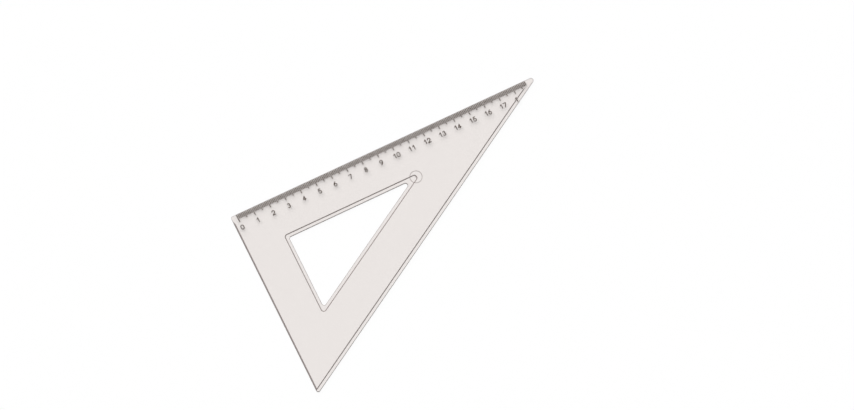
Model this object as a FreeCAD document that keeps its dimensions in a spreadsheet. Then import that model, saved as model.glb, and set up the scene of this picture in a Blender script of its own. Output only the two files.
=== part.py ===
"""A clear moulded 30/60 degree set square that lies flat, with a printed centimetre scale.

The plate is drawn with its right-angled corner at the document origin: the scale edge runs along +X
and the short leg along -Y. The finished pieces are then moved so that the origin is at the middle of
the square's bounding box, on its underside.
"""
import FreeCAD, Part
import math
import os

import Sketcher

Vector = FreeCAD.Vector

# Driving sizes in millimetres, degrees and counts, with the name of each one's cell.
SIZES = [
    # The triangle.
    ("tip_angle", 30.0),
    ("square_corner_radius", 1.2),
    ("tip_radius", 1.5),
    ("foot_radius", 1.3),
    # The plate and the bevel that thins it to the scale edge.
    ("thickness", 2.0),
    ("thin_edge", 0.8),
    ("bevel_width", 5.3),
    # The three bars round the window.
    ("scale_bar", 25.6),
    ("short_bar", 25.4),
    ("slant_bar", 25.8),
    ("window_corner_radius", 1.3),
    # The step that keeps ink off the slant side and the window.
    ("ledge_width", 1.75),
    ("step_run", 0.55),
    ("step_depth", 0.45),
    ("step_corner_radius", 1.3),
    # Rounded edges.
    ("short_edge_round", 1.2),
    ("ledge_round", 0.35),
    ("underside_round", 0.2),
    # The round moulding mark on the underside, outside the window's sharpest corner.
    ("mark_offset", 3.2),
    ("mark_radius", 3.6),
    ("mark_line", 0.4),
    ("mark_depth", 0.08),
    ("mark_dot_radius", 0.45),
    # The printed lines.
    ("ink_film", 0.03),
    # The scale starts a little way in from the short leg, and stops short of the sharp tip.
    ("zero_inset", 3.65),
    ("division", 1.0),
    ("tip_room", 9.55),
    ("fine_length", 3.1),
    ("half_length", 4.25),
    ("whole_length", 5.05),
    ("fine_stroke", 0.5),
    ("half_stroke", 0.48),
    ("whole_stroke", 0.45),
    # The printed numerals.
    ("numeral_centre", 8.53),
    ("numeral_height", 3.0),
    ("numeral_width", 2.1),
    ("numeral_stroke", 0.46),
    ("numeral_gap", 0.3),
]

# The scale is numbered in tens of divisions, with a longer line half way, and runs on past its last
# number, of which only the first digit has room beside the step.
DIVISIONS_PER_NUMERAL = 10
DIVISIONS_PER_HALF = 5
LAST_DIVISION = 188
LAST_NUMERAL_DIGITS = 1

# The length of the scale edge, measured to its sharp corners: room for the scale and for its two ends.
LONG_LEG = "({zero_inset} + %d * {division} + {tip_room})" % LAST_DIVISION

# Shares of a digit's half height: the lower bowl of 3 and 8, and the bowl of 5, 6 and 9.
LOWER_BOWL = 0.55
SINGLE_BOWL = 0.62

# How far the cutting shapes run past the plate, as a share of its long leg.
PAST = 0.25

# Two heights nearer than this are the same.
NEAR = 1e-4

doc = FreeCAD.newDocument("set_square")


def make_sheet():
    """Write the driving sizes into the document's spreadsheet."""
    cells = doc.addObject("Spreadsheet::Sheet", "Sizes")
    cells.set("A1", "Size")
    cells.set("B1", "Value")
    for row, (alias, value) in enumerate(SIZES, start=2):
        cells.set("A%d" % row, alias)
        cells.set("B%d" % row, "%g" % value)
        cells.setAlias("B%d" % row, alias)
    doc.recompute()
    return cells


sheet = make_sheet()


def size(alias):
    """A driving size as a plain number."""
    return float(sheet.get(alias))


def long_leg():
    """The length of the scale edge, measured to its sharp corners, as a plain number."""
    return size("zero_inset") + LAST_DIVISION * size("division") + size("tip_room")


def bind(obj, prop, formula):
    """Tie one property of an object to the spreadsheet; names in braces are cells."""
    obj.setExpression(prop, formula.replace("{", "Sizes.").replace("}", ""))


def new_body(name):
    """A body that may hold several separate solids, as print does."""
    body = doc.addObject("PartDesign::Body", name)
    body.Label = name
    body.AllowCompound = True
    return body


def origin_plane(body, role):
    """One of a body's own origin planes or axes."""
    return next(part for part in body.Origin.OriginFeatures if part.Role == role)


def new_sketch(body, name, role="XY_Plane", height=None):
    """A sketch on one of a body's own planes, lifted by a bound height."""
    sketch = body.newObject("Sketcher::SketchObject", name)
    sketch.AttachmentSupport = [(origin_plane(body, role), "")]
    sketch.MapMode = "FlatFace"
    if height:
        bind(sketch, "AttachmentOffset.Base.z", height)
    return sketch


def named(sketch, constraint, name, formula):
    """Add a constraint with a name of its own and tie its value to the spreadsheet."""
    index = sketch.addConstraint(constraint)
    sketch.renameConstraint(index, name)
    bind(sketch, "Constraints." + name, formula)


def closed_polygon(sketch, points):
    """Join points with lines that close, and return the first line's index."""
    count = len(points)
    first = sketch.GeometryCount
    for i in range(count):
        sketch.addGeometry(Part.LineSegment(points[i], points[(i + 1) % count]), False)
    for i in range(count):
        sketch.addConstraint(Sketcher.Constraint("Coincident", first + i, 2, first + (i + 1) % count, 1))
    return first


def add_reference_leg(sketch):
    """A construction line along the whole scale edge, from the right-angled corner to the sharp tip."""
    index = sketch.addGeometry(Part.LineSegment(Vector(0, 0, 0), Vector(long_leg(), 0, 0)), True)
    sketch.addConstraint(Sketcher.Constraint("Coincident", index, 1, -1, 1))
    sketch.addConstraint(Sketcher.Constraint("Horizontal", index))
    named(sketch, Sketcher.Constraint("DistanceX", index, 1, index, 2, long_leg()),
          "whole_long_leg", LONG_LEG)
    return index


def sharp_corners(inset_scale, inset_short, inset_slant):
    """The corners of the triangle whose sides lie the given distances inside the outline's."""
    angle = math.radians(size("tip_angle"))
    top = -inset_scale
    left = inset_short

    def slant_x(y):
        return long_leg() + y / math.tan(angle) - inset_slant / math.sin(angle)

    def slant_y(x):
        return (x - long_leg() + inset_slant / math.sin(angle)) * math.tan(angle)

    return [Vector(left, top, 0), Vector(slant_x(top), top, 0), Vector(left, slant_y(left), 0)]


def round_corners(sketch, guides, corners, radii):
    """Draw a triangle with rounded corners on three construction lines.

    guides are the construction lines' indices in order round the triangle, the first one between the
    first and second corners, and radii are three formulas, one for each corner.
    """
    arcs = []
    touches = []
    for i in range(3):
        corner = corners[i]
        to_next = (corners[(i + 1) % 3] - corner).normalize()
        to_last = (corners[(i - 1) % 3] - corner).normalize()
        half_angle = to_next.getAngle(to_last) / 2
        radius = size(radii[i].strip("{}"))
        reach = radius / math.tan(half_angle)
        inward = (to_next + to_last).normalize()
        centre = corner + inward * (radius / math.sin(half_angle))
        touches.append((corner + to_last * reach, corner + to_next * reach))
        arc = Part.Arc(touches[i][0], centre - inward * radius, touches[i][1])
        arcs.append(sketch.addGeometry(arc, False))
    for i in range(3):
        after = (i + 1) % 3
        line = sketch.addGeometry(Part.LineSegment(touches[i][1], touches[after][0]), False)
        join(sketch, line, 1, arcs[i], touches[i][1])
        join(sketch, line, 2, arcs[after], touches[after][0])
        sketch.addConstraint(Sketcher.Constraint("PointOnObject", line, 1, guides[i]))
        sketch.addConstraint(Sketcher.Constraint("PointOnObject", line, 2, guides[i]))
    for i in range(3):
        radius = size(radii[i].strip("{}"))
        named(sketch, Sketcher.Constraint("Radius", arcs[i], radius), "corner_radius_%d" % (i + 1), radii[i])


def join(sketch, line, line_end, arc, point):
    """Make a line run smoothly into whichever end of an arc lies at a point."""
    start = sketch.getPoint(arc, 1)
    arc_end = 1 if start.distanceToPoint(point) < sketch.getPoint(arc, 2).distanceToPoint(point) else 2
    sketch.addConstraint(Sketcher.Constraint("Tangent", line, line_end, arc, arc_end))


def triangle_sketch(body, name, insets, radii, height=None):
    """A rounded triangle inside the outline, by the distance of each side from the outline's own.

    insets holds the scale side's, the short side's and the slant side's distances: each a number and
    a formula. The outline itself has None.
    """
    sketch = new_sketch(body, name, height=height)
    distances = [value for value, formula in insets] if insets else [0, 0, 0]
    corners = sharp_corners(*distances)
    guide = closed_polygon(sketch, corners)
    for i in range(3):
        sketch.toggleConstruction(guide + i)
    sketch.addConstraint(Sketcher.Constraint("Horizontal", guide))
    sketch.addConstraint(Sketcher.Constraint("Vertical", guide + 2))
    if insets:
        reference = add_reference_leg(sketch)
        named(sketch, Sketcher.Constraint("DistanceY", guide, 1, -1, 1, distances[0]),
              "scale_side", insets[0][1])
        named(sketch, Sketcher.Constraint("DistanceX", -1, 1, guide, 1, distances[1]),
              "short_side", insets[1][1])
        named(sketch, Sketcher.Constraint("Distance", reference, 2, guide + 1, distances[2]),
              "slant_side", insets[2][1])
    else:
        sketch.addConstraint(Sketcher.Constraint("Coincident", guide, 1, -1, 1))
        named(sketch, Sketcher.Constraint("DistanceX", guide, 1, guide, 2, long_leg()),
              "long_side", LONG_LEG)
    slope = math.radians(size("tip_angle") - 180)
    named(sketch, Sketcher.Constraint("Angle", guide + 1, slope), "slope", "({tip_angle} - 180) * 1 deg")
    round_corners(sketch, [guide, guide + 1, guide + 2], corners, radii)
    return sketch


def slant_cutter_sketch(body, name, inset, inset_formula, height=None):
    """A triangle on the far side of a line that runs a set distance inside the slant side."""
    sketch = new_sketch(body, name, height=height)
    angle = math.radians(size("tip_angle"))
    outward = Vector(math.sin(angle), -math.cos(angle), 0)
    past = PAST * long_leg()

    def on_line(x):
        height_here = (x - long_leg() + inset / math.sin(angle)) * math.tan(angle)
        return Vector(x, height_here, 0)

    near_foot, near_tip = on_line(-past), on_line(long_leg() + past)
    corners = [near_foot, near_tip, near_foot + outward * 2 * past]
    side = closed_polygon(sketch, corners)
    for i in range(3):
        sketch.toggleConstruction(side + i)
    reference = add_reference_leg(sketch)
    sketch.addConstraint(Sketcher.Constraint("Perpendicular", side, side + 2))
    named(sketch, Sketcher.Constraint("Angle", side, angle), "slope", "{tip_angle} * 1 deg")
    named(sketch, Sketcher.Constraint("Distance", reference, 2, side, inset), "inset", inset_formula)
    named(sketch, Sketcher.Constraint("DistanceX", side, 1, -1, 1, past), "past_foot",
          LONG_LEG + " * %g" % PAST)
    named(sketch, Sketcher.Constraint("DistanceX", reference, 2, side, 2, past), "past_tip",
          LONG_LEG + " * %g" % PAST)
    named(sketch, Sketcher.Constraint("Distance", side + 2, 2 * past), "reach", LONG_LEG + " * %g" % (2 * PAST))
    round_corners(sketch, [side, side + 1, side + 2], corners, ["{step_corner_radius}"] * 3)
    return sketch


def pad(body, sketch, name, length, through_both=False):
    """A pad whose length is bound."""
    feature = body.newObject("PartDesign::Pad", name)
    feature.Profile = sketch
    if through_both:
        feature.SideType = "Symmetric"
    bind(feature, "Length", length)
    return feature


def pocket(body, sketch, name, depth=None, upwards=False, taper=None):
    """A pocket: right through both ways, or a bound depth one way, with a bound taper."""
    feature = body.newObject("PartDesign::Pocket", name)
    feature.Profile = sketch
    if depth is None:
        feature.SideType = "Symmetric"
        feature.Type = "ThroughAll"
    else:
        feature.Reversed = upwards
        bind(feature, "Length", depth)
    if taper:
        bind(feature, "TaperAngle", taper)
    return feature


def is_upright(face):
    """True for a wall: its normal has no vertical part."""
    u_min, u_max, v_min, v_max = face.ParameterRange
    return abs(face.normalAt((u_min + u_max) / 2, (v_min + v_max) / 2).z) < 0.01


def lies_at(edge, height):
    """True for a level edge at one height."""
    return abs(edge.BoundBox.ZMin - height) < NEAR and abs(edge.BoundBox.ZMax - height) < NEAR


def wall_edges(shape, height):
    """The names of the level edges at one height that are also the edge of a wall."""
    names = []
    for i, edge in enumerate(shape.Edges):
        if lies_at(edge, height):
            faces = shape.ancestorsOfType(edge, Part.Face)
            if any(is_upright(face) for face in faces):
                names.append("Edge%d" % (i + 1))
    return names


def round_edges(body, name, radius, names):
    """Round the named edges of the body's last feature."""
    base = body.Tip
    feature = body.newObject("PartDesign::Fillet", name)
    feature.Base = (base, names)
    bind(feature, "Radius", radius)
    doc.recompute()
    return feature


def make_plate():
    """The moulding: outline, bevel, steps, window, rounded edges and moulding mark."""
    body = new_body("plate")
    radii = ["{square_corner_radius}", "{tip_radius}", "{foot_radius}"]
    outline = triangle_sketch(body, "outline", None, radii)
    pad(body, outline, "slab", "{thickness}")

    pocket(body, bevel_section(body), "bevel")

    floor = "{thickness} - {step_depth}"
    taper = "atan({step_run} / {step_depth})"
    beyond = slant_cutter_sketch(body, "slant_ledge_cutter", size("ledge_width"), "{ledge_width}", floor)
    pocket(body, beyond, "slant_ledge", "{step_depth}", upwards=True, taper=taper)

    bars = ["scale_bar", "short_bar", "slant_bar"]
    window_sides = [(size(bar), "{%s}" % bar) for bar in bars]
    window = triangle_sketch(body, "window_outline", window_sides, ["{window_corner_radius}"] * 3)
    pocket(body, window, "window")
    ledge = size("ledge_width")
    ledge_sides = [(size(bar) - ledge, "{%s} - {ledge_width}" % bar) for bar in bars]
    ledge_outline = triangle_sketch(body, "window_ledge_outline", ledge_sides,
                                    ["{step_corner_radius}"] * 3, floor)
    pocket(body, ledge_outline, "window_ledge", "{step_depth}", upwards=True, taper=taper)

    doc.recompute()
    round_edges(body, "underside_edges", "{underside_round}", wall_edges(body.Shape, 0))
    ledge_height = size("thickness") - size("step_depth")
    round_edges(body, "ledge_edges", "{ledge_round}", wall_edges(body.Shape, ledge_height))
    # The short leg's large rounding is cut across the small ones, which can't run into it.
    pocket(body, short_edge_section(body), "short_edge")
    pocket(body, mark_sketch(body), "moulding_mark", "{mark_depth}", upwards=True)
    doc.recompute()
    return body


def bevel_section(body):
    """The triangle that the bevel takes away, seen along the scale edge."""
    sketch = new_sketch(body, "bevel_section", "YZ_Plane")
    low, high, back = size("thin_edge"), size("thickness"), -size("bevel_width")
    side = closed_polygon(sketch, [Vector(0, low, 0), Vector(0, high, 0), Vector(back, high, 0)])
    sketch.addConstraint(Sketcher.Constraint("PointOnObject", side, 1, -2))
    sketch.addConstraint(Sketcher.Constraint("PointOnObject", side, 2, -2))
    sketch.addConstraint(Sketcher.Constraint("Horizontal", side + 1))
    named(sketch, Sketcher.Constraint("DistanceY", -1, 1, side, 1, low), "thin", "{thin_edge}")
    named(sketch, Sketcher.Constraint("DistanceY", -1, 1, side, 2, high), "thick", "{thickness}")
    named(sketch, Sketcher.Constraint("DistanceX", side + 1, 2, side + 1, 1, -back), "width",
          "{bevel_width}")
    return sketch


def short_edge_section(body):
    """What is taken off the short leg's upper edge to round it, seen along that leg."""
    sketch = new_sketch(body, "short_edge_section", "XZ_Plane")
    high, radius = size("thickness"), size("short_edge_round")
    corner, on_top = Vector(0, high, 0), Vector(radius, high, 0)
    on_wall, centre = Vector(0, high - radius, 0), Vector(radius, high - radius, 0)
    middle = centre + (corner - centre).normalize() * radius
    top = sketch.addGeometry(Part.LineSegment(corner, on_top), False)
    curve = sketch.addGeometry(Part.Arc(on_top, middle, on_wall), False)
    wall = sketch.addGeometry(Part.LineSegment(on_wall, corner), False)
    sketch.addConstraint(Sketcher.Constraint("Coincident", wall, 2, top, 1))
    join(sketch, top, 2, curve, on_top)
    join(sketch, wall, 1, curve, on_wall)
    sketch.addConstraint(Sketcher.Constraint("PointOnObject", top, 1, -2))
    sketch.addConstraint(Sketcher.Constraint("Horizontal", top))
    sketch.addConstraint(Sketcher.Constraint("Vertical", wall))
    named(sketch, Sketcher.Constraint("DistanceY", -1, 1, top, 1, high), "thick", "{thickness}")
    named(sketch, Sketcher.Constraint("Radius", curve, radius), "round", "{short_edge_round}")
    return sketch


def mark_sketch(body):
    """The ring and dot of the moulding mark, beyond the window's sharpest corner."""
    sketch = new_sketch(body, "mark_outline")
    half_tip = math.radians(size("tip_angle")) / 2
    bars = [size("scale_bar"), size("short_bar"), size("slant_bar")]
    corner = sharp_corners(*bars)[1]
    centre = corner + Vector(math.cos(half_tip), math.sin(half_tip), 0) * size("mark_offset")
    radii = {
        "ring_outside": "{mark_radius} + {mark_line} / 2",
        "ring_inside": "{mark_radius} - {mark_line} / 2",
        "dot": "{mark_dot_radius}",
    }
    up = Vector(0, 0, 1)
    first = None
    for name, formula in radii.items():
        circle = sketch.addGeometry(Part.Circle(centre, up, size("mark_radius")), False)
        named(sketch, Sketcher.Constraint("Radius", circle, size("mark_radius")), name, formula)
        if first is None:
            first = circle
        else:
            sketch.addConstraint(Sketcher.Constraint("Coincident", circle, 3, first, 3))
    corner_x = ("(" + LONG_LEG + " - {scale_bar} / tan({tip_angle} * 1 deg)"
                " - {slant_bar} / sin({tip_angle} * 1 deg))")
    named(sketch, Sketcher.Constraint("DistanceX", -1, 1, first, 3, centre.x), "along",
          corner_x + " + {mark_offset} * cos({tip_angle} * 0.5 deg)")
    named(sketch, Sketcher.Constraint("DistanceY", first, 3, -1, 1, -centre.y), "across",
          "{scale_bar} - {mark_offset} * sin({tip_angle} * 0.5 deg)")
    return sketch


def make_ink_layer():
    """A film of ink over the whole printed band, from which the lines and numerals are taken.

    It covers the bevel and the flat behind it as far as the step, and then the ledge below the step.
    """
    body = new_body("ink_layer")
    film = pad(body, film_section(body), "film", LONG_LEG)
    step = size("ledge_width") + size("step_run")
    beyond_step = slant_cutter_sketch(body, "step_line", step, "{ledge_width} + {step_run}")
    pocket(body, beyond_step, "film_end")
    floor = "{thickness} - {step_depth}"
    ledge = slant_cutter_sketch(body, "ledge_line", size("ledge_width"), "{ledge_width}", floor)
    pad(body, ledge, "ledge_film", "{ink_film}")
    rim = slant_cutter_sketch(body, "rim_line", size("ledge_round"), "{ledge_round}")
    pocket(body, rim, "ledge_film_end")
    return body


def film_section(body):
    """The film seen along the scale edge: up the bevel, then level past the numerals."""
    sketch = new_sketch(body, "film_section", "YZ_Plane")
    thin, thick, film = size("thin_edge"), size("thickness"), size("ink_film")
    bevel, band = -size("bevel_width"), -size("numeral_centre") - size("numeral_height")
    outline = [(0, thin), (bevel, thick), (band, thick), (band, thick + film), (bevel, thick + film),
               (0, thin + film)]
    side = closed_polygon(sketch, [Vector(x, y, 0) for x, y in outline])
    sketch.addConstraint(Sketcher.Constraint("PointOnObject", side, 1, -2))
    sketch.addConstraint(Sketcher.Constraint("Horizontal", side + 1))
    sketch.addConstraint(Sketcher.Constraint("Vertical", side + 2))
    sketch.addConstraint(Sketcher.Constraint("Horizontal", side + 3))
    sketch.addConstraint(Sketcher.Constraint("Vertical", side + 1, 1, side + 4, 1))
    sketch.addConstraint(Sketcher.Constraint("Vertical", side + 5))
    named(sketch, Sketcher.Constraint("DistanceY", -1, 1, side, 1, thin), "thin", "{thin_edge}")
    named(sketch, Sketcher.Constraint("DistanceY", -1, 1, side, 2, thick), "thick", "{thickness}")
    named(sketch, Sketcher.Constraint("DistanceX", side, 2, -1, 1, -bevel), "bevel", "{bevel_width}")
    named(sketch, Sketcher.Constraint("DistanceX", side + 2, 1, -1, 1, -band), "band",
          "{numeral_centre} + {numeral_height}")
    named(sketch, Sketcher.Constraint("DistanceY", side + 2, 1, side + 2, 2, film), "film", "{ink_film}")
    named(sketch, Sketcher.Constraint("DistanceY", side, 1, side + 5, 1, film), "edge_film", "{ink_film}")
    return sketch


def ruled_lines(name, stroke, length, first, groups):
    """Blocks that cut lines out of the ink layer: one line, repeated along the scale.

    first is the division of the first line. Each group is a pitch in divisions and a number of copies.
    """
    body = new_body(name + "_cutter")
    sketch = new_sketch(body, name + "_outline")
    half = size(stroke) / 2
    place = size("zero_inset") + first * size("division")
    back = -size(length)
    side = closed_polygon(sketch, [Vector(place - half, 0, 0), Vector(place + half, 0, 0),
                                   Vector(place + half, back, 0), Vector(place - half, back, 0)])
    sketch.addConstraint(Sketcher.Constraint("PointOnObject", side, 1, -1))
    sketch.addConstraint(Sketcher.Constraint("PointOnObject", side, 2, -1))
    sketch.addConstraint(Sketcher.Constraint("Vertical", side + 1))
    sketch.addConstraint(Sketcher.Constraint("Horizontal", side + 2))
    sketch.addConstraint(Sketcher.Constraint("Vertical", side + 3))
    named(sketch, Sketcher.Constraint("DistanceX", -1, 1, side, 1, place - half), "place",
          "{zero_inset} + %d * {division} - {%s} / 2" % (first, stroke))
    named(sketch, Sketcher.Constraint("DistanceX", side, 1, side, 2, 2 * half), "stroke", "{%s}" % stroke)
    named(sketch, Sketcher.Constraint("DistanceY", side + 1, 2, side + 1, 1, -back), "length",
          "{%s}" % length)
    line = pad(body, sketch, name + "_line", "{thickness} + 2 * {ink_film}")
    doc.recompute()
    rows = body.newObject("PartDesign::MultiTransform", name + "_rows")
    rows.Originals = [line]
    steps = []
    for number, (pitch, copies) in enumerate(groups, start=1):
        step = doc.addObject("PartDesign::LinearPattern", "%s_step_%d" % (name, number))
        body.addObject(step)
        step.Direction = (origin_plane(body, "X_Axis"), [""])
        step.Mode = "Spacing"
        bind(step, "Offset", "%d * {division}" % pitch)
        step.Occurrences = copies
        steps.append(step)
    rows.Transformations = steps
    body.Tip = rows
    return body


def printed(name, cutter):
    """The part of the ink layer inside a cutter, as a piece of its own."""
    piece = doc.addObject("Part::Common", name)
    piece.Label = name
    piece.Base = doc.ink_layer
    piece.Tool = cutter
    return piece


def make_lines():
    """The millimetre, half-centimetre and centimetre lines, each kind one piece."""
    whole_lines = LAST_DIVISION // DIVISIONS_PER_NUMERAL + 1
    half_lines = (LAST_DIVISION + DIVISIONS_PER_HALF) // DIVISIONS_PER_NUMERAL
    full_groups, left_over = divmod(LAST_DIVISION, DIVISIONS_PER_HALF)
    between = DIVISIONS_PER_HALF - 1
    cutter = ruled_lines("whole", "whole_stroke", "whole_length", 0,
                         [(DIVISIONS_PER_NUMERAL, whole_lines)])
    pieces = [printed("centimetre_lines", cutter)]
    cutter = ruled_lines("half", "half_stroke", "half_length", DIVISIONS_PER_HALF,
                         [(DIVISIONS_PER_NUMERAL, half_lines)])
    pieces.append(printed("half_centimetre_lines", cutter))
    cutter = ruled_lines("fine", "fine_stroke", "fine_length", 1,
                         [(1, between), (DIVISIONS_PER_HALF, full_groups)])
    if left_over:
        first = full_groups * DIVISIONS_PER_HALF + 1
        end = ruled_lines("fine_end", "fine_stroke", "fine_length", first, [(1, left_over)])
        both = doc.addObject("Part::Compound", "fine_cutters")
        both.Links = [cutter, end]
        cutter = both
    pieces.append(printed("millimetre_lines", cutter))
    return pieces


def stroke_paths(digit, half_width, half_height):
    """The middle lines of a digit's strokes, about the middle of its cell.

    A path is a list of points. It runs straight from one point to the next, or in an arc through the
    bend between them. A circle has a path to itself, given by its centre and radius.
    """
    w, h = half_width, half_height
    low, bowl = LOWER_BOWL * h, SINGLE_BOWL * h
    high = h - low

    def on_circle(radius, middle_y, degrees):
        turn = math.radians(degrees)
        return (radius * math.cos(turn), middle_y + radius * math.sin(turn))

    low_y, bowl_y, high_y = low - h, bowl - h, h - high
    six_tail = [(-bowl, bowl_y), ("bend", -0.55 * w, 0.46 * h), (0.5 * w, h)]
    paths = {
        0: [[(-w, h - w), ("bend", 0, h), (w, h - w), (w, w - h), ("bend", 0, -h), (-w, w - h),
             (-w, h - w)]],
        1: [[(-0.55 * w, 0.47 * h), (0.43 * w, h), (0.43 * w, -h)]],
        2: [[on_circle(w, h - w, 170), ("bend",) + on_circle(w, h - w, 60), on_circle(w, h - w, -35),
             (-w, -h), (w, -h)]],
        3: [[on_circle(high, high_y, 160), ("bend",) + on_circle(high, high_y, 35),
             (0, high_y - high), ("bend",) + on_circle(low, low_y, -30), on_circle(low, low_y, -160)]],
        4: [[(0.3 * w, -h), (0.3 * w, h), (-w, -0.4 * h), (w, -0.4 * h)]],
        5: [[(0.8 * w, h), (-0.65 * w, h), on_circle(bowl, bowl_y, 145),
             ("bend",) + on_circle(bowl, bowl_y, 0), on_circle(bowl, bowl_y, -150)]],
        6: [[("circle", 0, bowl_y, bowl)], six_tail],
        7: [[(-w, h), (w, h), (-0.3 * w, -h)]],
        8: [[("circle", 0, low_y, low)], [("circle", 0, high_y, high)]],
    }
    if digit == 9:
        return [[turned(point) for point in path] for path in paths[6]]
    return paths[digit]


def turned(point):
    """A path's point turned half way round the middle of the cell."""
    if point[0] == "circle":
        return ("circle", -point[1], -point[2], point[3])
    if point[0] == "bend":
        return ("bend", -point[1], -point[2])
    return (-point[0], -point[1])


def digit_block(digit):
    """A digit as a solid block, as tall as the plate, with strokes of one width and round ends."""
    half_stroke = size("numeral_stroke") / 2
    half_width = size("numeral_width") / 2 - half_stroke
    half_height = size("numeral_height") / 2 - half_stroke
    blocks = []
    for path in stroke_paths(digit, half_width, half_height):
        blocks.extend(path_blocks(path, half_stroke))
    block = blocks[0].multiFuse(blocks[1:]) if len(blocks) > 1 else blocks[0]
    return block.removeSplitter()


def block_height():
    """How high a cutting block stands: clear through the plate and the ink on it."""
    return size("thickness") + 2 * size("ink_film")


def path_blocks(path, half_stroke):
    """The blocks of one path: one for each straight run, arc or circle, and a round one at each point."""
    if path[0][0] == "circle":
        marker, x, y, radius = path[0]
        return [ring_block(Vector(x, y, 0), radius, half_stroke)]
    blocks = []
    last = None
    bend = None
    for point in path:
        if point[0] == "bend":
            bend = Vector(point[1], point[2], 0)
            continue
        here = Vector(point[0], point[1], 0)
        blocks.append(Part.makeCylinder(half_stroke, block_height(), here))
        if last is not None and bend is None:
            blocks.append(straight_block(last, here, half_stroke))
        elif last is not None:
            blocks.append(arc_block(last, bend, here, half_stroke))
        last = here
        bend = None
    return blocks


def straight_block(start, end, half_stroke):
    """A straight run of a stroke."""
    side = (end - start).normalize().cross(Vector(0, 0, 1)) * half_stroke
    corners = [start + side, end + side, end - side, start - side, start + side]
    return Part.Face(Part.makePolygon(corners)).extrude(Vector(0, 0, block_height()))


def ring_block(centre, radius, half_stroke):
    """A stroke that goes right round a circle."""
    outside = Part.makeCylinder(radius + half_stroke, block_height(), centre)
    inside = Part.makeCylinder(radius - half_stroke, block_height(), centre)
    return outside.cut(inside)


def arc_block(start, bend, end, half_stroke):
    """A stroke along the arc from start to end through bend: a sector of a ring."""
    circle = Part.Circle(start, bend, end)

    def at(point, distance):
        return circle.Center + (point - circle.Center).normalize() * distance

    outer, inner = circle.Radius + half_stroke, circle.Radius - half_stroke
    edges = [
        Part.Arc(at(start, outer), at(bend, outer), at(end, outer)).toShape(),
        Part.LineSegment(at(end, outer), at(end, inner)).toShape(),
        Part.Arc(at(end, inner), at(bend, inner), at(start, inner)).toShape(),
        Part.LineSegment(at(start, inner), at(start, outer)).toShape(),
    ]
    return Part.Face(Part.Wire(edges)).extrude(Vector(0, 0, block_height()))


def make_numerals():
    """The numbers under the centimetre lines, each one piece.

    The last one's first digit crosses the step: it is printed on both levels, but not on the slope
    between them, and the digit after it isn't printed.
    """
    pitch = size("numeral_width") + size("numeral_gap")
    blocks = {digit: digit_block(digit) for digit in range(10)}
    pieces = []
    last = LAST_DIVISION // DIVISIONS_PER_NUMERAL
    for number in range(last + 1):
        digits = [int(character) for character in str(number)]
        middles = [(place - (len(digits) - 1) / 2) * pitch for place in range(len(digits))]
        placed = [blocks[digit].translated(Vector(middle, 0, 0)) for digit, middle in zip(digits, middles)]
        if number == last:
            placed = placed[:LAST_NUMERAL_DIGITS]
        cutter = doc.addObject("Part::Feature", "numeral_%d_cutter" % number)
        cutter.Shape = Part.makeCompound(placed)
        bind(cutter, "Placement.Base.x",
             "{zero_inset} + %d * {division}" % (number * DIVISIONS_PER_NUMERAL))
        bind(cutter, "Placement.Base.y", "-{numeral_centre}")
        pieces.append(printed("numeral_%d" % number, cutter))
    return pieces


def place_on_origin(piece):
    """Move a finished piece so that the origin is under the middle of the square's bounding box."""
    tip_end = "(" + LONG_LEG + " - {tip_radius} * (1 / tan({tip_angle} * 0.5 deg) - 1))"
    foot_end = ("(" + LONG_LEG + " * tan({tip_angle} * 1 deg)"
                " - {foot_radius} * (1 / tan(45 deg - {tip_angle} * 0.5 deg) - 1))")
    bind(piece, "Placement.Base.x", "-%s / 2" % tip_end)
    bind(piece, "Placement.Base.y", "%s / 2" % foot_end)


def check(pieces):
    """Stop if any feature failed or any piece isn't a sound solid."""
    for obj in doc.Objects:
        if "Invalid" in obj.State or "Error" in obj.State:
            raise RuntimeError("%s failed" % obj.Name)
    for piece in pieces:
        shape = piece.Shape
        if shape.isNull() or not shape.isValid() or not shape.Solids:
            raise RuntimeError("%s isn't a sound solid" % piece.Label)


def export(pieces):
    """Write each piece to a file of its own and print its size."""
    os.makedirs("parts", exist_ok=True)
    for piece in pieces:
        piece.Shape.exportStep("parts/%s.step" % piece.Label)
        box = piece.Shape.optimalBoundingBox()
        print("%s: %d solids, %.3f mm3, x %.2f to %.2f, y %.2f to %.2f, z %.3f to %.3f" % (
            piece.Label, len(piece.Shape.Solids), piece.Shape.Volume, box.XMin, box.XMax, box.YMin,
            box.YMax, box.ZMin, box.ZMax))


def main():
    """Build the document, check it and write the pieces."""
    pieces = [make_plate()]
    make_ink_layer()
    pieces.extend(make_lines())
    pieces.extend(make_numerals())
    for piece in pieces:
        place_on_origin(piece)
    doc.recompute()
    check(pieces)
    export(pieces)


main()
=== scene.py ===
"""A clear plastic 30/60 degree set square, dressed for a product picture.

The script is laid out as an add-on: each piece of the set square and the stage round it has an operator,
and the sizes and colours that a user would change are properties in the sidebar.
"""
import math

import bmesh
import bpy
from bpy.props import FloatProperty, FloatVectorProperty, PointerProperty
from bpy.types import Operator, Panel, PropertyGroup
from mathutils import Matrix, Vector


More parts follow.
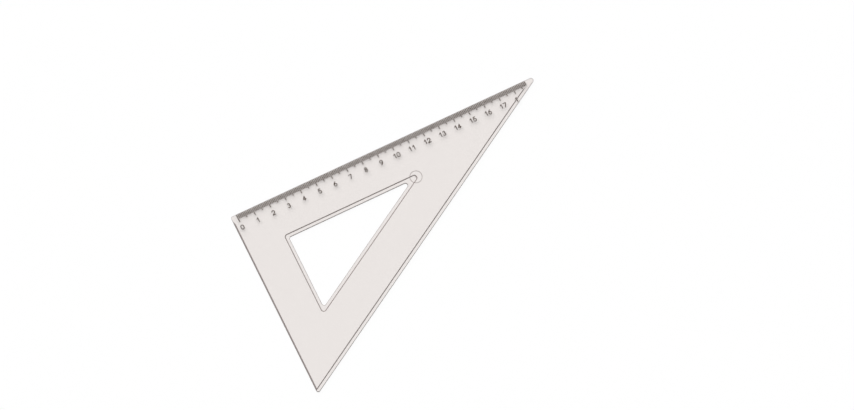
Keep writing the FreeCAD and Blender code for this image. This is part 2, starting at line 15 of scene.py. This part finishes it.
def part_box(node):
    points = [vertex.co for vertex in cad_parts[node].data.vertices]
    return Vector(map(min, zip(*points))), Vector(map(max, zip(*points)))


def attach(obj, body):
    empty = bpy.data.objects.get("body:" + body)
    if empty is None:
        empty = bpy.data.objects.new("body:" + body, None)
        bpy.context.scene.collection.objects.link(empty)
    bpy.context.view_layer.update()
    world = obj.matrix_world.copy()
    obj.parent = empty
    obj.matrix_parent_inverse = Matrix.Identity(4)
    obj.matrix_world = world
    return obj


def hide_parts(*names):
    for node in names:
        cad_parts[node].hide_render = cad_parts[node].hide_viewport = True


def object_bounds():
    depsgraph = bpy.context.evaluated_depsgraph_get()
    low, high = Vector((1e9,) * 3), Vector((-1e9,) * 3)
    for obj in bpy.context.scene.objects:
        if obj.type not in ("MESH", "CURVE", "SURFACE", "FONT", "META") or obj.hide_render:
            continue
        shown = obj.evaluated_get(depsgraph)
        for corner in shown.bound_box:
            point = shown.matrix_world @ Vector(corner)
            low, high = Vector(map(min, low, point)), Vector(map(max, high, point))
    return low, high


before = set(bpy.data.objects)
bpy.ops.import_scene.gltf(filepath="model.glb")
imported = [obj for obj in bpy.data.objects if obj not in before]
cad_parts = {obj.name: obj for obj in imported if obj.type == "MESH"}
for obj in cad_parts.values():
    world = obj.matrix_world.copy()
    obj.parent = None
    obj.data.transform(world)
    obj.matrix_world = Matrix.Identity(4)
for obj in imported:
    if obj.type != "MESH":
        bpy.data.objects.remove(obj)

bl_info = {
    "name": "Set square",
    "version": (1, 0, 0),
    "blender": (4, 5, 0),
    "location": "3D View > Sidebar > Set square",
    "description": "Dresses a clear moulded set square with a printed scale and sets its stage",
    "category": "Object",
}

MM = 0.001
CAD_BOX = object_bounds()
PLATE_LOW, PLATE_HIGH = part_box("plate")
WHOLE_LOW, WHOLE_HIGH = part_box("centimetre_lines")
HALF_LOW, HALF_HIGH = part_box("half_centimetre_lines")
FINE_LOW, FINE_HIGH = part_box("millimetre_lines")
INK_FILM = CAD_BOX[1][2] - PLATE_HIGH.z

# The scale is numbered in tens of divisions, with a longer line half way, and runs on past its last number.
DIVISIONS_PER_NUMERAL = 10
DIVISIONS_PER_HALF = 5
LAST_DIVISION = 188
LAST_NUMERAL = LAST_DIVISION // DIVISIONS_PER_NUMERAL
NUMERALS = ["numeral_%d" % number for number in range(LAST_NUMERAL + 1)]

# A face tilted further than this is a wall, a step or a rounded edge; the bevel is flatter.
EDGE_TILT = math.radians(20)

# Two faces that meet at less than this are shaded as one: broad level faces, and rounded edges.
LEVEL_TURN = math.radians(2)
ROUNDED_TURN = math.radians(30)

# Corners of neighbouring triangles that are nearer than this are one point.
SAME_POINT = 1e-7

# The moulding mark's floor looks down, with this much of its normal, and lies this far above the underside.
MARK_DOWNWARD = 0.9
MARK_LEAST_DEPTH = 0.01 * MM

# The plate's materials, by their places in its list.
CLEAR, EDGES, MARK = range(3)

# The wear group's inputs, with the values that they have until a material sets its own.
WEAR_INPUTS = {"Scratch Width": 0.1 * MM, "Scratch Length": 20 * MM, "Scratch Share": 0.55,
               "Cloud Size": 20 * MM}

# The ways that the scratches run, in degrees, and the levels of the noise at which one starts and is full.
SCRATCH_WAYS = (24, -37, 81)
SCRATCH_STARTS = 0.70
SCRATCH_FULL = 0.78

# How fast the scratched patches fade out, and what clouds and scratches add to the height and take from it.
PATCH_FADE = 0.1
CLOUD_HEIGHT = 0.5
SCRATCH_DEPTH = 0.5

# Where the clouding is full, the plastic's colour is this share of itself.
CLEAR_CLOUDING = 0.985
SATIN_CLOUDING = 0.9

# The satin's roughness runs this share of itself either way.
SATIN_SPREAD = 0.2

# The share of a lamp's light that goes on through the plate.
LIGHT_THROUGH = 0.97

# The ink runs from solid to rubbed: shares of its colour, and roughness.
INK_SOLID, INK_RUBBED = 0.5, 2.2
INK_SMOOTH, INK_ROUGH = 0.4, 0.6

# The floor lies this far below the underside, so that the two don't share a plane.
FLOOR_DROP = 0.02 * MM


class SetSquarePlate(PropertyGroup):
    """Looks of the clear moulded plate."""

    tint: FloatVectorProperty(
        name="Plastic tint", description="What the clear plastic lets through", subtype="COLOR",
        size=3, min=0, max=1, default=(0.878, 0.831, 0.807))
    # Painted shade: this dark colour stands in for the dark lines that refraction draws along clear edges.
    painted_edge_shade: FloatVectorProperty(
        name="Edge colour", description="Colour of the satin walls, steps and rounded edges",
        subtype="COLOR", size=3, min=0, max=1, default=(0.26, 0.215, 0.205))
    edge_clearness: FloatProperty(
        name="Edge clearness", description="How much of the light the satin edges let straight through",
        default=0.15, min=0, max=1, subtype="FACTOR")
    mark_clearness: FloatProperty(
        name="Moulding mark clearness", description="How much light the faint moulding mark lets through",
        default=0.85, min=0, max=1, subtype="FACTOR")
    roughness: FloatProperty(
        name="Face roughness", description="Roughness of the polished faces", default=0.02, min=0, max=1)
    scratch_roughness: FloatProperty(
        name="Scratch roughness", description="Roughness of the fine scratches in the faces",
        default=0.18, min=0, max=1)
    edge_roughness: FloatProperty(
        name="Edge roughness", description="Roughness of walls, steps and rounded edges", default=0.3,
        min=0, max=1)
    index: FloatProperty(
        name="Refractive index", description="Refractive index of clear polystyrene", default=1.55,
        min=1, max=2)


class SetSquareInk(PropertyGroup):
    """Sizes and looks of the printed scale."""

    colour: FloatVectorProperty(
        name="Ink colour", description="Colour of the printed lines and numerals", subtype="COLOR",
        size=3, min=0, max=1, default=(0.034, 0.019, 0.012))
    fine_stroke: FloatProperty(
        name="Millimetre line width", description="Width of the shortest lines", default=0.50 * MM,
        min=0, unit="LENGTH")
    half_stroke: FloatProperty(
        name="Half-centimetre line width", description="Width of the middle lines", default=0.48 * MM,
        min=0, unit="LENGTH")
    whole_stroke: FloatProperty(
        name="Centimetre line width", description="Width of the longest lines", default=0.45 * MM,
        min=0, unit="LENGTH")
    thin_edge: FloatProperty(
        name="Scale edge thickness", description="Thickness of the plate at its scale edge",
        default=0.8 * MM, min=0, unit="LENGTH")
    bevel_width: FloatProperty(
        name="Bevel width", description="Width of the slope that the lines are printed on",
        default=5.3 * MM, min=0, unit="LENGTH")


class SetSquareStage(PropertyGroup):
    """The floor, lamp, world and camera."""

    floor_size: FloatProperty(
        name="Floor size", description="Side of the square floor", default=6.0, min=0, unit="LENGTH")
    key_light: FloatProperty(
        name="Key light", description="Share of a level surface's light that the key gives", default=0.85,
        min=0)
    key_tilt: FloatProperty(
        name="Key tilt", description="How far the key light leans from overhead, towards the scale edge",
        default=math.radians(35), min=0, subtype="ANGLE")
    key_spread: FloatProperty(
        name="Key spread", description="How wide the key light looks from the floor",
        default=math.radians(75), min=0, subtype="ANGLE")
    glow: FloatProperty(
        name="Floor glow", description="How much brighter the floor looks than its own colour would",
        default=0.1, min=0)
    surround: FloatProperty(
        name="Surround", description="Light that the room round the stage gives", default=0.15, min=0)
    pale_room: FloatProperty(
        name="Pale room", description="How pale the room looks, to the camera and in the polished faces",
        default=0.9, min=0)
    lens: FloatProperty(
        name="Lens", description="Focal length in millimetres", default=156.74, min=1)
    backdrop: FloatVectorProperty(
        name="Floor colour", description="Colour of the floor", subtype="COLOR", size=3, min=0, max=1,
        default=(0.9, 0.9, 0.9))


def add_object(name, data):
    """A new object at the origin of the scene."""
    thing = bpy.data.objects.new(name, data)
    bpy.context.scene.collection.objects.link(thing)
    return thing


def is_level(face):
    """Whether a face is one of the broad level faces or the bevel, not a wall, step or rounded edge."""
    return abs(face.normal.z) > math.cos(EDGE_TILT)


def merged_copy(node, name):
    """A copy of a CAD node's mesh with its triangles joined, smooth round its edges and flat elsewhere."""
    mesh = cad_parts[node].data.copy()
    mesh.name = name
    work = bmesh.new()
    work.from_mesh(mesh)
    bmesh.ops.remove_doubles(work, verts=work.verts, dist=SAME_POINT)
    for face in work.faces:
        face.smooth = True
    for edge in work.edges:
        kinds = {is_level(face) for face in edge.link_faces}
        most = LEVEL_TURN if kinds == {True} else ROUNDED_TURN
        edge.smooth = len(kinds) == 1 and edge.calc_face_angle(math.pi) < most
    work.to_mesh(mesh)
    work.free()
    return add_object(name, mesh)


def made_by_tree(name, tree, values):
    """A plain mesh object from a geometry node tree with the given inputs."""
    holder = add_object(name, bpy.data.meshes.new(name))
    modifier = holder.modifiers.new("Make", "NODES")
    modifier.node_group = tree
    for item in tree.interface.items_tree:
        if item.item_type == "SOCKET" and item.in_out == "INPUT":
            modifier[item.identifier] = values[item.name]
    bpy.context.view_layer.update()
    evaluated = holder.evaluated_get(bpy.context.evaluated_depsgraph_get())
    mesh = bpy.data.meshes.new_from_object(evaluated)
    if not mesh.polygons:
        raise RuntimeError("%s came out empty" % name)
    holder.modifiers.remove(modifier)
    holder.data = mesh
    mesh.name = name
    return holder


def feed(tree, node, *values):
    """Give a node's inputs, in turn, another node's output or a plain number; None leaves one as it is."""
    for socket, value in zip(node.inputs, values):
        if isinstance(value, bpy.types.NodeSocket):
            tree.links.new(value, socket)
        elif value is not None:
            socket.default_value = value


def calc(tree, operation, a, b=None):
    """The result of a Math node."""
    node = tree.nodes.new("ShaderNodeMath")
    node.operation = operation
    feed(tree, node, a, b)
    return node.outputs[0]


def vector(tree, x=0.0, y=0.0, z=0.0):
    """A vector put together from its three parts."""
    node = tree.nodes.new("ShaderNodeCombineXYZ")
    feed(tree, node, x, y, z)
    return node.outputs[0]


def mix(tree, data_type, share, low, high):
    """A colour or a number that runs from low to high with a node's output."""
    node = tree.nodes.new("ShaderNodeMix")
    node.data_type = data_type
    tree.links.new(share, node.inputs["Factor"])
    node.inputs["A"].default_value = low
    node.inputs["B"].default_value = high
    return node.outputs["Result"]


def mix_colours(tree, share, low, high):
    """A colour that runs from low to high with a node's output."""
    return mix(tree, "RGBA", share, (*low, 1), (*high, 1))


def mix_values(tree, share, low, high):
    """A number that runs from low to high with a node's output."""
    return mix(tree, "FLOAT", share, low, high)


def either_ray(tree, *names):
    """1 for a ray of any of the named kinds, from the Light Path node."""
    path = tree.nodes.new("ShaderNodeLightPath")
    found = path.outputs[names[0]]
    for name in names[1:]:
        found = calc(tree, "MAXIMUM", found, path.outputs[name])
    return found


def in_sight(tree):
    """1 for a ray that shows the stage: straight to the camera, in a mirror or through the plastic."""
    return either_ray(tree, "Is Camera Ray", "Is Glossy Ray", "Is Transmission Ray")


def scratches_one_way(tree, place, across, along, degrees):
    """A mask of scratches that all run one way; across and along are their counts in a metre."""
    turn = tree.nodes.new("ShaderNodeMapping")
    turn.inputs["Rotation"].default_value = (0, 0, math.radians(degrees))
    tree.links.new(place, turn.inputs["Vector"])
    scaled = tree.nodes.new("ShaderNodeVectorMath")
    scaled.operation = "MULTIPLY"
    feed(tree, scaled, turn.outputs["Vector"], vector(tree, along, across, along))
    streaks = tree.nodes.new("ShaderNodeTexNoise")
    streaks.inputs["Scale"].default_value = 1.0
    streaks.inputs["Detail"].default_value = 0.0
    tree.links.new(scaled.outputs["Vector"], streaks.inputs["Vector"])
    thin = tree.nodes.new("ShaderNodeMapRange")
    thin.interpolation_type = "SMOOTHSTEP"
    thin.inputs["From Min"].default_value = SCRATCH_STARTS
    thin.inputs["From Max"].default_value = SCRATCH_FULL
    tree.links.new(streaks.outputs["Fac"], thin.inputs["Value"])
    return thin.outputs["Result"]


def surface_wear():
    """The shared group of fine scratches and a slight unevenness, both in the object's own space.

    Scratches is a mask, 1 in a scratch. Clouding is a soft pattern about 0.5. Height is for a bump.
    """
    existing = bpy.data.node_groups.get("Surface wear")
    if existing:
        return existing
    group = bpy.data.node_groups.new("Surface wear", "ShaderNodeTree")
    for name, value in WEAR_INPUTS.items():
        socket = group.interface.new_socket(name, in_out="INPUT", socket_type="NodeSocketFloat")
        socket.default_value = value
    for name in ("Scratches", "Clouding", "Height"):
        group.interface.new_socket(name, in_out="OUTPUT", socket_type="NodeSocketFloat")
    given = group.nodes.new("NodeGroupInput").outputs
    wanted = group.nodes.new("NodeGroupOutput").inputs
    place = group.nodes.new("ShaderNodeTexCoord").outputs["Object"]

    across = calc(group, "DIVIDE", 1.0, given["Scratch Width"])
    along = calc(group, "DIVIDE", 1.0, given["Scratch Length"])
    ways = [scratches_one_way(group, place, across, along, degrees) for degrees in SCRATCH_WAYS]
    scratches = ways[0]
    for one_way in ways[1:]:
        scratches = calc(group, "MAXIMUM", scratches, one_way)

    clouds = group.nodes.new("ShaderNodeTexNoise")
    clouds.inputs["Detail"].default_value = 2.0
    group.links.new(calc(group, "DIVIDE", 1.0, given["Cloud Size"]), clouds.inputs["Scale"])
    group.links.new(place, clouds.inputs["Vector"])
    clouding = clouds.outputs["Fac"]

    patches = group.nodes.new("ShaderNodeMapRange")
    unscratched = calc(group, "SUBTRACT", 1.0, given["Scratch Share"])
    group.links.new(unscratched, patches.inputs["From Min"])
    group.links.new(calc(group, "ADD", unscratched, PATCH_FADE), patches.inputs["From Max"])
    group.links.new(clouding, patches.inputs["Value"])
    in_patches = calc(group, "MULTIPLY", scratches, patches.outputs["Result"])

    raised = calc(group, "MULTIPLY", clouding, CLOUD_HEIGHT)
    cut = calc(group, "MULTIPLY", in_patches, SCRATCH_DEPTH)
    group.links.new(in_patches, wanted["Scratches"])
    group.links.new(clouding, wanted["Clouding"])
    group.links.new(calc(group, "SUBTRACT", raised, cut), wanted["Height"])
    return group


def new_material(name):
    """A node material, its tree and its Principled shader, which feeds its output."""
    material = bpy.data.materials.new(name)
    material.use_nodes = True
    return material, material.node_tree, material.node_tree.nodes["Principled BSDF"]


def add_wear(tree, **values):
    """The outputs of the shared wear group, placed in a material with the material's own values."""
    wear = tree.nodes.new("ShaderNodeGroup")
    wear.node_tree = surface_wear()
    for name, value in values.items():
        wear.inputs[name.replace("_", " ").title()].default_value = value
    return wear.outputs


def add_bump(tree, height, shader, depth):
    """Bump a shader's normal by a node's output."""
    bump = tree.nodes.new("ShaderNodeBump")
    bump.inputs["Distance"].default_value = depth
    tree.links.new(height, bump.inputs["Height"])
    tree.links.new(bump.outputs["Normal"], shader.inputs["Normal"])


def part_of(colour, share):
    """A colour with each of its parts times a share."""
    return [share * part for part in colour]


class SETSQUARE_OT_plate(Operator):
    """Dress the moulded plate in clear plastic, satin with painted shade on its walls, steps and rounded
    edges
    """

    bl_idname = "set_square.plate"
    bl_label = "Plate"

    def execute(self, context):
        looks = context.scene.set_square_plate
        piece = merged_copy("plate", "clear_plate")
        mesh = piece.data
        mesh.materials.clear()
        mesh.materials.append(self.clear_faces(looks))
        # The walls, steps and rounded edges, and the moulding mark, wear the painted edge shade.
        mesh.materials.append(self.satin("clear_plastic_edges_painted_shade", looks, looks.edge_clearness))
        mesh.materials.append(self.satin("clear_plastic_mark_painted_shade", looks, looks.mark_clearness))
        for polygon in mesh.polygons:
            polygon.material_index = self.material_of(polygon)
        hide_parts("plate")
        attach(piece, "root")
        return {"FINISHED"}

    def material_of(self, face):
        """The place in the plate's list of the material that a face has."""
        looks_down = face.normal.z < -MARK_DOWNWARD
        if looks_down and face.center.z > PLATE_LOW.z + MARK_LEAST_DEPTH:
            return MARK
        return CLEAR if is_level(face) else EDGES

    def clear_faces(self, looks):
        """The polished faces: tinted a little, with fine scratches and moulding waviness."""
        material, tree, plastic = new_material("clear_plastic")
        plastic.inputs["IOR"].default_value = looks.index
        plastic.inputs["Transmission Weight"].default_value = 1.0
        wear = add_wear(tree, scratch_width=0.12 * MM, scratch_length=30 * MM, cloud_size=60 * MM)
        colour = mix_colours(tree, wear["Clouding"], looks.tint, part_of(looks.tint, CLEAR_CLOUDING))
        roughness = mix_values(tree, wear["Scratches"], looks.roughness, looks.scratch_roughness)
        tree.links.new(colour, plastic.inputs["Base Color"])
        tree.links.new(roughness, plastic.inputs["Roughness"])
        add_bump(tree, wear["Height"], plastic, depth=0.005 * MM)
        self.let_light_through(tree, plastic)
        return material

    def satin(self, name, looks, clearness):
        """A surface as the mould leaves it: satin, catching light or staying dark, with a dark colour that
        is painted shade.
        """
        material, tree, plastic = new_material(name)
        plastic.inputs["IOR"].default_value = looks.index
        plastic.inputs["Transmission Weight"].default_value = clearness
        wear = add_wear(tree, scratch_width=0.2 * MM, scratch_length=4 * MM, cloud_size=6 * MM)
        # The painted edge shade, a little darker where the clouding is full.
        clouded_edge_shade = part_of(looks.painted_edge_shade, SATIN_CLOUDING)
        colour = mix_colours(tree, wear["Clouding"], looks.painted_edge_shade, clouded_edge_shade)
        roughness = mix_values(tree, wear["Clouding"], (1 - SATIN_SPREAD) * looks.edge_roughness,
                               (1 + SATIN_SPREAD) * looks.edge_roughness)
        tree.links.new(colour, plastic.inputs["Base Color"])
        tree.links.new(roughness, plastic.inputs["Roughness"])
        add_bump(tree, wear["Height"], plastic, depth=0.03 * MM)
        self.let_light_through(tree, plastic)
        return material

    def let_light_through(self, tree, plastic):
        """Let the lamp and the room light what lies under the clear plate, as they do in life."""
        clear = tree.nodes.new("ShaderNodeBsdfTransparent")
        clear.inputs["Color"].default_value = (LIGHT_THROUGH, LIGHT_THROUGH, LIGHT_THROUGH, 1)
        both = tree.nodes.new("ShaderNodeMixShader")
        feed(tree, both, either_ray(tree, "Is Shadow Ray", "Is Diffuse Ray"), plastic.outputs["BSDF"],
             clear.outputs["BSDF"])
        tree.links.new(both.outputs["Shader"], tree.nodes["Material Output"].inputs["Surface"])


def printing_ink(looks):
    """Semi-matt near-black ink, shared by the lines and the numerals: mottled, and a little rubbed."""
    existing = bpy.data.materials.get("printing_ink")
    if existing:
        return existing
    material, tree, ink = new_material("printing_ink")
    ink.inputs["Specular IOR Level"].default_value = 0.2
    wear = add_wear(tree, scratch_width=0.08 * MM, scratch_length=3 * MM, cloud_size=0.6 * MM)
    colour = mix_colours(tree, wear["Clouding"], part_of(looks.colour, INK_SOLID),
                         part_of(looks.colour, INK_RUBBED))
    tree.links.new(colour, ink.inputs["Base Color"])
    tree.links.new(mix_values(tree, wear["Clouding"], INK_SMOOTH, INK_ROUGH), ink.inputs["Roughness"])
    add_bump(tree, wear["Height"], ink, depth=0.01 * MM)
    return material


class SETSQUARE_OT_lines(Operator):
    """Rule the millimetre, half-centimetre and centimetre lines along the bevel"""

    bl_idname = "set_square.lines"
    bl_label = "Lines"

    def execute(self, context):
        looks = context.scene.set_square_ink
        tree = self.ruling_tree()
        numbered_run = WHOLE_HIGH.x - WHOLE_LOW.x - looks.whole_stroke
        pitch = numbered_run / (LAST_NUMERAL * DIVISIONS_PER_NUMERAL)
        zero = WHOLE_LOW.x + looks.whole_stroke / 2
        kinds = [
            ("fine_lines", "millimetre_lines",
             {"First": zero, "Step": pitch, "Count": LAST_DIVISION + 1, "Skip Every": DIVISIONS_PER_HALF,
              "Length": FINE_HIGH.y - FINE_LOW.y, "Stroke": looks.fine_stroke}),
            ("half_lines", "half_centimetre_lines",
             {"First": zero + DIVISIONS_PER_HALF * pitch, "Step": DIVISIONS_PER_NUMERAL * pitch,
              "Count": (LAST_DIVISION + DIVISIONS_PER_HALF) // DIVISIONS_PER_NUMERAL, "Skip Every": 0,
              "Length": HALF_HIGH.y - HALF_LOW.y, "Stroke": looks.half_stroke}),
            ("whole_lines", "centimetre_lines",
             {"First": zero, "Step": DIVISIONS_PER_NUMERAL * pitch, "Count": LAST_NUMERAL + 1,
              "Skip Every": 0, "Length": WHOLE_HIGH.y - WHOLE_LOW.y, "Stroke": looks.whole_stroke}),
        ]
        bevel = {"Film": INK_FILM, "Edge Y": PLATE_HIGH.y, "Edge Z": looks.thin_edge,
                 "Slope": math.atan2(PLATE_HIGH.z - looks.thin_edge, looks.bevel_width),
                 "Material": printing_ink(looks)}
        for name, node, ruling in kinds:
            piece = made_by_tree(name, tree, {**bevel, **ruling})
            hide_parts(node)
            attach(piece, "root")
        return {"FINISHED"}

    def ruling_tree(self):
        """Geometry nodes that repeat one printed line along the scale edge."""
        tree = bpy.data.node_groups.new("Ruled lines", "GeometryNodeTree")
        sockets = tree.interface
        sockets.new_socket("Geometry", in_out="OUTPUT", socket_type="NodeSocketGeometry")
        for name in ("First", "Step", "Length", "Stroke", "Film", "Edge Y", "Edge Z", "Slope"):
            sockets.new_socket(name, in_out="INPUT", socket_type="NodeSocketFloat")
        for name in ("Count", "Skip Every"):
            sockets.new_socket(name, in_out="INPUT", socket_type="NodeSocketInt")
        sockets.new_socket("Material", in_out="INPUT", socket_type="NodeSocketMaterial")
        given = tree.nodes.new("NodeGroupInput").outputs
        result = tree.nodes.new("NodeGroupOutput").inputs

        spread = tree.nodes.new("GeometryNodeInstanceOnPoints")
        tree.links.new(self.row_of_places(tree, given), spread.inputs["Points"])
        tree.links.new(self.one_line(tree, given), spread.inputs["Instance"])
        real = tree.nodes.new("GeometryNodeRealizeInstances")
        tree.links.new(spread.outputs["Instances"], real.inputs["Geometry"])
        coat = tree.nodes.new("GeometryNodeSetMaterial")
        tree.links.new(real.outputs["Geometry"], coat.inputs["Geometry"])
        tree.links.new(given["Material"], coat.inputs["Material"])
        tree.links.new(coat.outputs["Geometry"], result["Geometry"])
        return tree

    def row_of_places(self, tree, given):
        """A point for each line. Skip Every, unless it is 0, leaves out those where longer lines stand."""
        row = tree.nodes.new("GeometryNodeMeshLine")
        row.mode = "OFFSET"
        tree.links.new(given["Count"], row.inputs["Count"])
        tree.links.new(vector(tree, given["First"]), row.inputs["Start Location"])
        tree.links.new(vector(tree, given["Step"]), row.inputs["Offset"])
        index = tree.nodes.new("GeometryNodeInputIndex").outputs[0]
        past_longer = calc(tree, "MODULO", index, given["Skip Every"])
        on_longer = calc(tree, "LESS_THAN", past_longer, 0.5)
        skips = calc(tree, "GREATER_THAN", given["Skip Every"], 0.5)
        drop = tree.nodes.new("GeometryNodeDeleteGeometry")
        drop.domain = "POINT"
        tree.links.new(row.outputs["Mesh"], drop.inputs["Geometry"])
        tree.links.new(calc(tree, "MULTIPLY", on_longer, skips), drop.inputs["Selection"])
        return drop.outputs["Geometry"]

    def one_line(self, tree, given):
        """One line: a thin film that lies on the bevel and meets the scale edge with its upper corner."""
        slope = given["Slope"]
        film = given["Film"]
        back = calc(tree, "MULTIPLY", film, calc(tree, "SINE", slope))
        level_run = calc(tree, "SUBTRACT", given["Length"], back)
        length = calc(tree, "DIVIDE", level_run, calc(tree, "COSINE", slope))
        line = tree.nodes.new("GeometryNodeMeshCube")
        tree.links.new(vector(tree, given["Stroke"], length, film), line.inputs["Size"])
        lay = tree.nodes.new("GeometryNodeTransform")
        middle = vector(tree, 0.0, calc(tree, "MULTIPLY", length, -0.5), calc(tree, "MULTIPLY", film, 0.5))
        tree.links.new(line.outputs["Mesh"], lay.inputs["Geometry"])
        tree.links.new(middle, lay.inputs["Translation"])
        tilt = tree.nodes.new("GeometryNodeTransform")
        edge = vector(tree, 0.0, calc(tree, "SUBTRACT", given["Edge Y"], back), given["Edge Z"])
        tree.links.new(lay.outputs["Geometry"], tilt.inputs["Geometry"])
        tree.links.new(vector(tree, calc(tree, "MULTIPLY", slope, -1.0)), tilt.inputs["Rotation"])
        tree.links.new(edge, tilt.inputs["Translation"])
        return tilt.outputs["Geometry"]


class SETSQUARE_OT_numerals(Operator):
    """Print the numerals under the centimetre lines"""

    bl_idname = "set_square.numerals"
    bl_label = "Numerals"

    def execute(self, context):
        ink = printing_ink(context.scene.set_square_ink)
        for name in NUMERALS:
            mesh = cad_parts[name].data
            mesh.materials.clear()
            mesh.materials.append(ink)
        return {"FINISHED"}


class SETSQUARE_OT_stage(Operator):
    """Set out the floor, the lamp, the world and the camera"""

    bl_idname = "set_square.stage"
    bl_label = "Stage"

    def execute(self, context):
        looks = context.scene.set_square_stage
        self.floor(looks)
        self.lamp(looks)
        self.world(context.scene, looks)
        self.camera(context.scene, looks)
        context.scene.view_settings.view_transform = "Standard"
        return {"FINISHED"}

    def floor(self, looks):
        """A sheet of white paper, a little brighter to look at than it lights the plate."""
        half = looks.floor_size / 2
        corners = [(-half, -half), (half, -half), (half, half), (-half, half)]
        mesh = bpy.data.meshes.new("floor")
        mesh.from_pydata([(x, y, -FLOOR_DROP) for x, y in corners], [], [(0, 1, 2, 3)])
        floor = add_object("floor", mesh)
        material, tree, paper = new_material("white_paper")
        paper.inputs["Base Color"].default_value = (*looks.backdrop, 1)
        paper.inputs["Roughness"].default_value = 0.9
        paper.inputs["Specular IOR Level"].default_value = 0.1
        paper.inputs["Emission Color"].default_value = (1, 1, 1, 1)
        glow = calc(tree, "MULTIPLY", in_sight(tree), looks.glow)
        tree.links.new(glow, paper.inputs["Emission Strength"])
        mesh.materials.append(material)

    def lamp(self, looks):
        """One broad soft light from beyond the scale edge; the plastic mirrors the room and not its disc."""
        towards = Vector((0, math.sin(looks.key_tilt), math.cos(looks.key_tilt)))
        data = bpy.data.lights.new("key_light", "SUN")
        data.angle = looks.key_spread
        data.energy = looks.key_light * math.pi / towards.z
        lamp = add_object("key_light", data)
        lamp.visible_glossy = False
        lamp.visible_transmission = False
        lamp.location = towards
        lamp.rotation_euler = (-towards).to_track_quat("-Z", "Y").to_euler()

    def world(self, scene, looks):
        """A white room that looks paler than the light it gives."""
        world = bpy.data.worlds.new("room")
        world.use_nodes = True
        scene.world = world
        tree = world.node_tree
        room = tree.nodes["Background"]
        room.inputs["Color"].default_value = (1, 1, 1, 1)
        strength = mix_values(tree, in_sight(tree), looks.surround, looks.pale_room)
        tree.links.new(strength, room.inputs["Strength"])

    def camera(self, scene, looks):
        """A long lens, placed where the scale and the three sides fall as in the picture."""
        right = Vector((0.894457, -0.443459, 0.057368))
        down = Vector((-0.418917, -0.875916, -0.239332))
        forward = Vector((0.156383, 0.19004, -0.969241))
        place = Vector((-331.62, -397.96, 2106.1)) * MM
        data = bpy.data.cameras.new("camera")
        data.sensor_fit = "HORIZONTAL"
        data.sensor_width = 36.0
        data.lens = looks.lens
        data.clip_end = 20.0
        camera = add_object("camera", data)
        turn = Matrix((right, -down, -forward)).transposed().to_4x4()
        camera.matrix_world = Matrix.Translation(place) @ turn
        scene.camera = camera


class SETSQUARE_PT_panel(Panel):
    """Lists the pieces of the set square, with their sizes and looks"""

    bl_idname = "SETSQUARE_PT_panel"
    bl_label = "Set square"
    bl_space_type = "VIEW_3D"
    bl_region_type = "UI"
    bl_category = "Set square"

    def draw(self, context):
        layout = self.layout
        for operator in OPERATORS:
            layout.operator(operator.bl_idname)
        for name in GROUPS:
            group = getattr(context.scene, name)
            box = layout.box()
            for value in group.__annotations__:
                box.prop(group, value)


OPERATORS = (SETSQUARE_OT_plate, SETSQUARE_OT_lines, SETSQUARE_OT_numerals, SETSQUARE_OT_stage)
GROUPS = {
    "set_square_plate": SetSquarePlate,
    "set_square_ink": SetSquareInk,
    "set_square_stage": SetSquareStage,
}


def register():
    """Register the classes and hang the properties on the scene."""
    for name, group in GROUPS.items():
        bpy.utils.register_class(group)
        setattr(bpy.types.Scene, name, PointerProperty(type=group))
    for operator in OPERATORS:
        bpy.utils.register_class(operator)
    bpy.utils.register_class(SETSQUARE_PT_panel)


def unregister():
    """Take the classes and properties away again."""
    bpy.utils.unregister_class(SETSQUARE_PT_panel)
    for operator in reversed(OPERATORS):
        bpy.utils.unregister_class(operator)
    for name, group in GROUPS.items():
        delattr(bpy.types.Scene, name)
        bpy.utils.unregister_class(group)


def main():
    """Make every piece and the stage."""
    register()
    bpy.ops.set_square.plate()
    bpy.ops.set_square.lines()
    bpy.ops.set_square.numerals()
    bpy.ops.set_square.stage()


if __name__ == "__main__":
    main()
